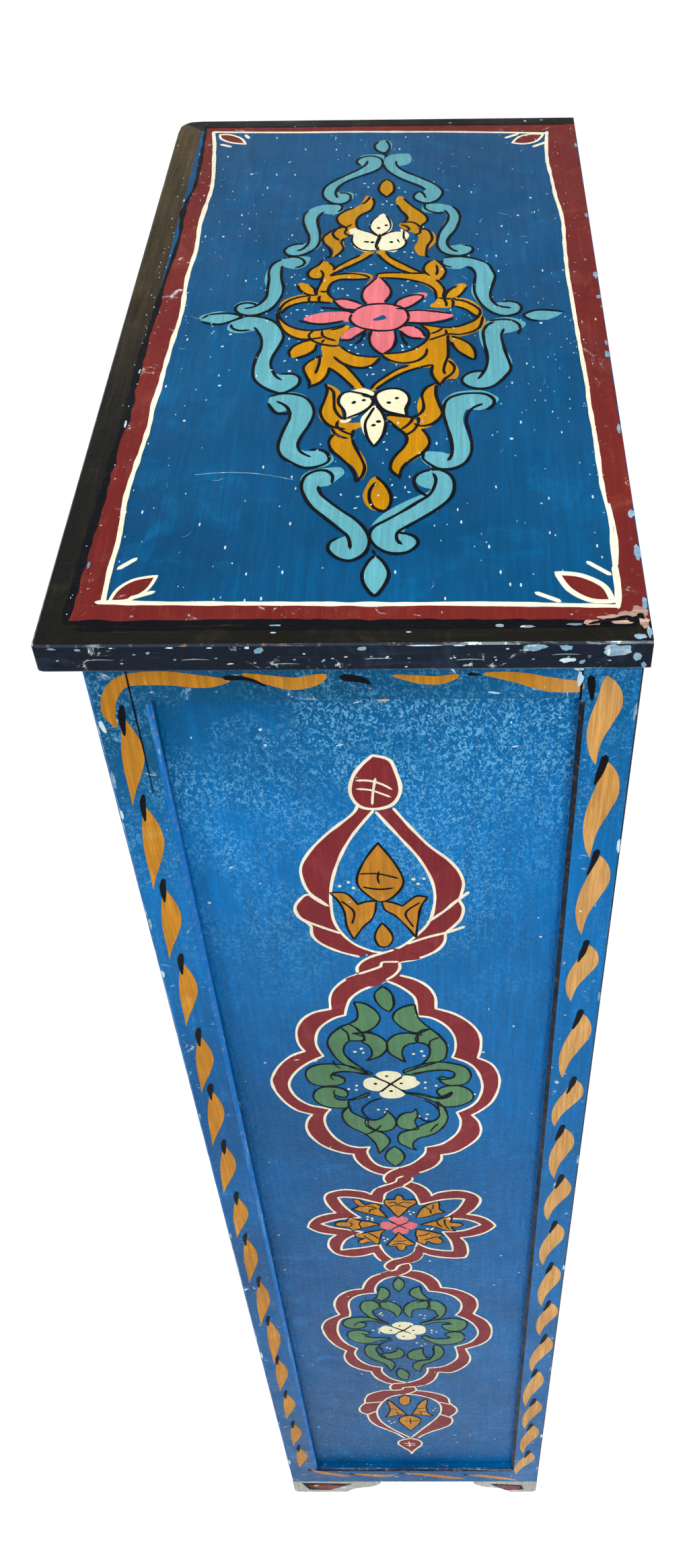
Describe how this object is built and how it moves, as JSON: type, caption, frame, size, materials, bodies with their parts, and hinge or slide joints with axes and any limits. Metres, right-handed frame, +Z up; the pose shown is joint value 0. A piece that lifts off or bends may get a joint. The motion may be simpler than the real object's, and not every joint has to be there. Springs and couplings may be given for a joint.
{
  "type": "painted two-door cabinet",
  "caption": "Tall narrow painted cabinet with carved double doors, shelves inside, framed side panels and bracket feet.",
  "frame": {"origin": "on the floor, under the centre of the top", "axes": "+X to the right of someone facing the doors, which face -Y; +Z up"},
  "size_m": [0.65, 0.33, 1.51],
  "materials": {
    "painted_top": "glossy blue paint with painted ornament",
    "painted_lipping": "glossy black paint, worn",
    "painted_foot": "white paint with painted motifs",
    "painted_side_panel": "glossy blue paint with painted ornament",
    "painted_frame": "glossy blue paint with gold leaves",
    "carved_panel": "carved and painted",
    "painted_button": "glossy maroon paint",
    "back_wood": "bare softwood",
    "inner_wood": "bare softwood",
    "hinge_iron": "blackened",
    "pull_brass": "aged brass",
    "screw_steel": "dull steel"
  },
  "bodies": {
    "carcass": {"back_board_1": "back_wood", "back_board_2": "back_wood", "back_board_3": "back_wood", "bottom_board": "inner_wood", "door_stop": "inner_wood", "foot_front_left": "painted_foot", "foot_front_right": "painted_foot", "foot_rear_left": "painted_foot", "foot_rear_right": "painted_foot", "front_bottom_rail": "painted_frame", "front_post_left": "painted_frame", "front_post_right": "painted_frame", "front_top_rail": "painted_frame", "hinge_frame_leaves": "hinge_iron", "hinge_pins": "hinge_iron", "rear_rail": "inner_wood", "shelf_1": "inner_wood", "shelf_2": "inner_wood", "shelf_3": "inner_wood", "shelf_cleats": "inner_wood", "side_bottom_rail_left": "painted_frame", "side_bottom_rail_right": "painted_frame", "side_front_strip_left": "painted_frame", "side_front_strip_right": "painted_frame", "side_panel_left": "painted_side_panel", "side_panel_right": "painted_side_panel", "side_rear_stile_left": "painted_frame", "side_rear_stile_right": "painted_frame", "side_top_rail_left": "painted_frame", "side_top_rail_right": "painted_frame", "top_board": "painted_top", "top_lipping_front": "painted_lipping", "top_lipping_left": "painted_lipping", "top_lipping_right": "painted_lipping"},
    "door_left": {"button_screw": "screw_steel", "door_bottom_rail_left": "painted_frame", "door_hinge_stile_left": "painted_frame", "door_lower_lock_rail_left": "painted_frame", "door_lower_panel_left": "carved_panel", "door_meeting_stile_left": "painted_frame", "door_middle_panel_left": "carved_panel", "door_top_rail_left": "painted_frame", "door_upper_lock_rail_left": "painted_frame", "door_upper_panel_left": "carved_panel", "hinge_door_leaves_left": "hinge_iron", "ring_plate_left": "pull_brass"},
    "door_right": {"door_bottom_rail_right": "painted_frame", "door_hinge_stile_right": "painted_frame", "door_lower_lock_rail_right": "painted_frame", "door_lower_panel_right": "carved_panel", "door_meeting_stile_right": "painted_frame", "door_middle_panel_right": "carved_panel", "door_top_rail_right": "painted_frame", "door_upper_lock_rail_right": "painted_frame", "door_upper_panel_right": "carved_panel", "hinge_door_leaves_right": "hinge_iron", "ring_plate_right": "pull_brass"},
    "ring_left": {"ring_left": "pull_brass"},
    "ring_right": {"ring_right": "pull_brass"},
    "turn_button": {"turn_button": "painted_button"}
  },
  "joints": [
    {"name": "door_right_swing", "type": "hinge", "parent": "carcass", "child": "door_right", "pos_m": [0.2635, -0.1505, 0.767], "axis": [0, 0, 1], "range_deg": [0, 160]},
    {"name": "door_left_swing", "type": "hinge", "parent": "carcass", "child": "door_left", "pos_m": [-0.2635, -0.1505, 0.767], "axis": [0, 0, -1], "range_deg": [0, 160]},
    {"name": "ring_right_lift", "type": "hinge", "parent": "door_right", "child": "ring_right", "pos_m": [0.02408, -0.1534, 0.78], "axis": [-1, 0, 0], "range_deg": [0, 150]},
    {"name": "ring_left_lift", "type": "hinge", "parent": "door_left", "child": "ring_left", "pos_m": [-0.02408, -0.1534, 0.78], "axis": [-1, 0, 0], "range_deg": [0, 150]},
    {"name": "button_turn", "type": "hinge", "parent": "door_left", "child": "turn_button", "pos_m": [-0.01558, -0.1505, 0.87], "axis": [0, -1, 0], "range_deg": [-90, 90]}
  ]
}
